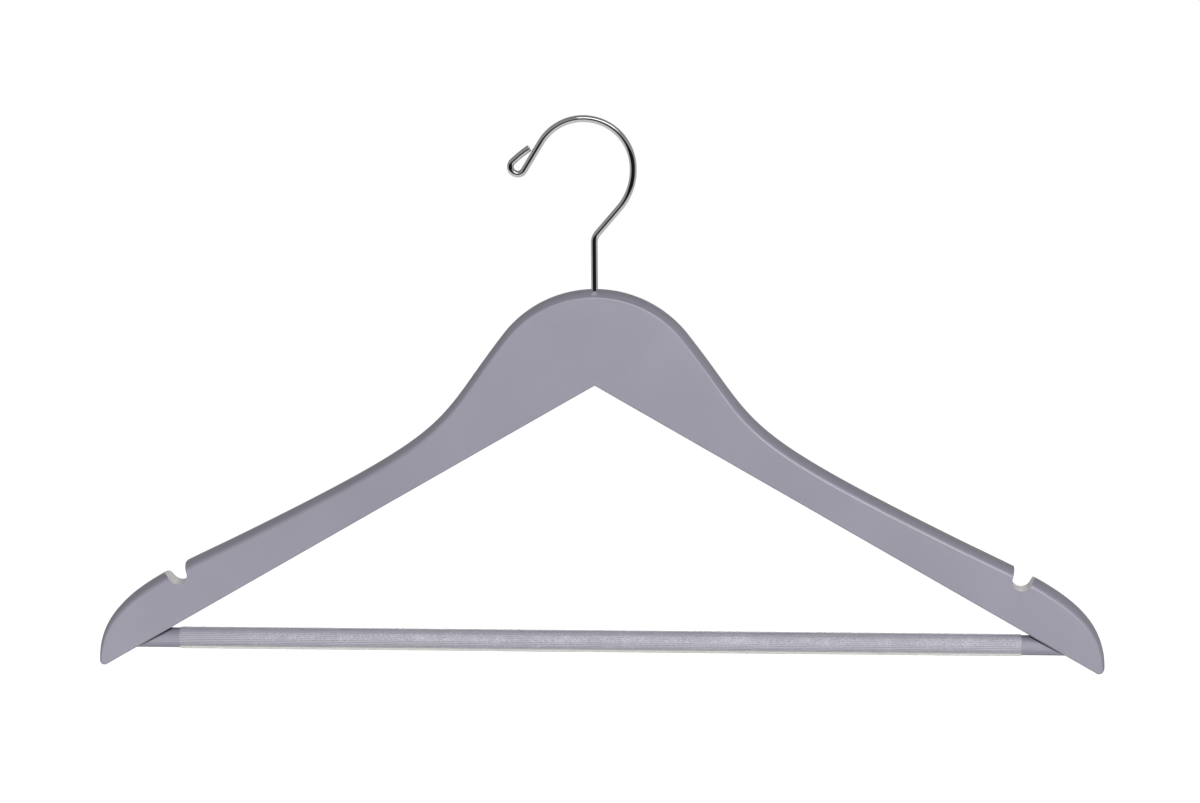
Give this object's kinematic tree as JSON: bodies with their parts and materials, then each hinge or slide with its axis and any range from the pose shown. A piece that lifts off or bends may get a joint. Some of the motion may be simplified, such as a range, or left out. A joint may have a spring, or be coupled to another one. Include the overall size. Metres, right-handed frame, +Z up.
{
  "type": "trouser hanger",
  "caption": "Flat painted wooden hanger with a chromed swivel hook, strap notches and a trouser bar in a clear ribbed grip sleeve.",
  "frame": {"origin": "the point at the top inside of the hook where it sits on the rail", "axes": "+X along the trouser bar towards the right arm, +Y from the front face to the back face along the rail, +Z up the swivel axis"},
  "size_m": [0.432, 0.011, 0.2372],
  "materials": {
    "grey_paint": "satin grey paint over wood, edges rounded, strap notches cut through to bare wood",
    "chrome_wire": "bright chromed steel wire",
    "zinc_steel": "plain zinc-plated steel",
    "clear_vinyl": "clear soft plastic tube with fine ribs along it, rough where light breaks on the ribs"
  },
  "bodies": {
    "swivel_hook": {"hook": "chrome_wire", "hook_nut": "zinc_steel"},
    "hanger_frame": {"left_arm": "grey_paint", "right_arm": "grey_paint", "hook_washer": "zinc_steel", "trouser_bar": "grey_paint", "grip_sleeve": "clear_vinyl", "left_bar_pin": "zinc_steel", "right_bar_pin": "zinc_steel"}
  },
  "joints": [
    {"name": "hook_swivel", "type": "hinge", "parent": "swivel_hook", "child": "hanger_frame", "pos_m": [0.0043, 0, -0.0708], "axis": [0, 0, 1], "continuous": true}
  ]
}
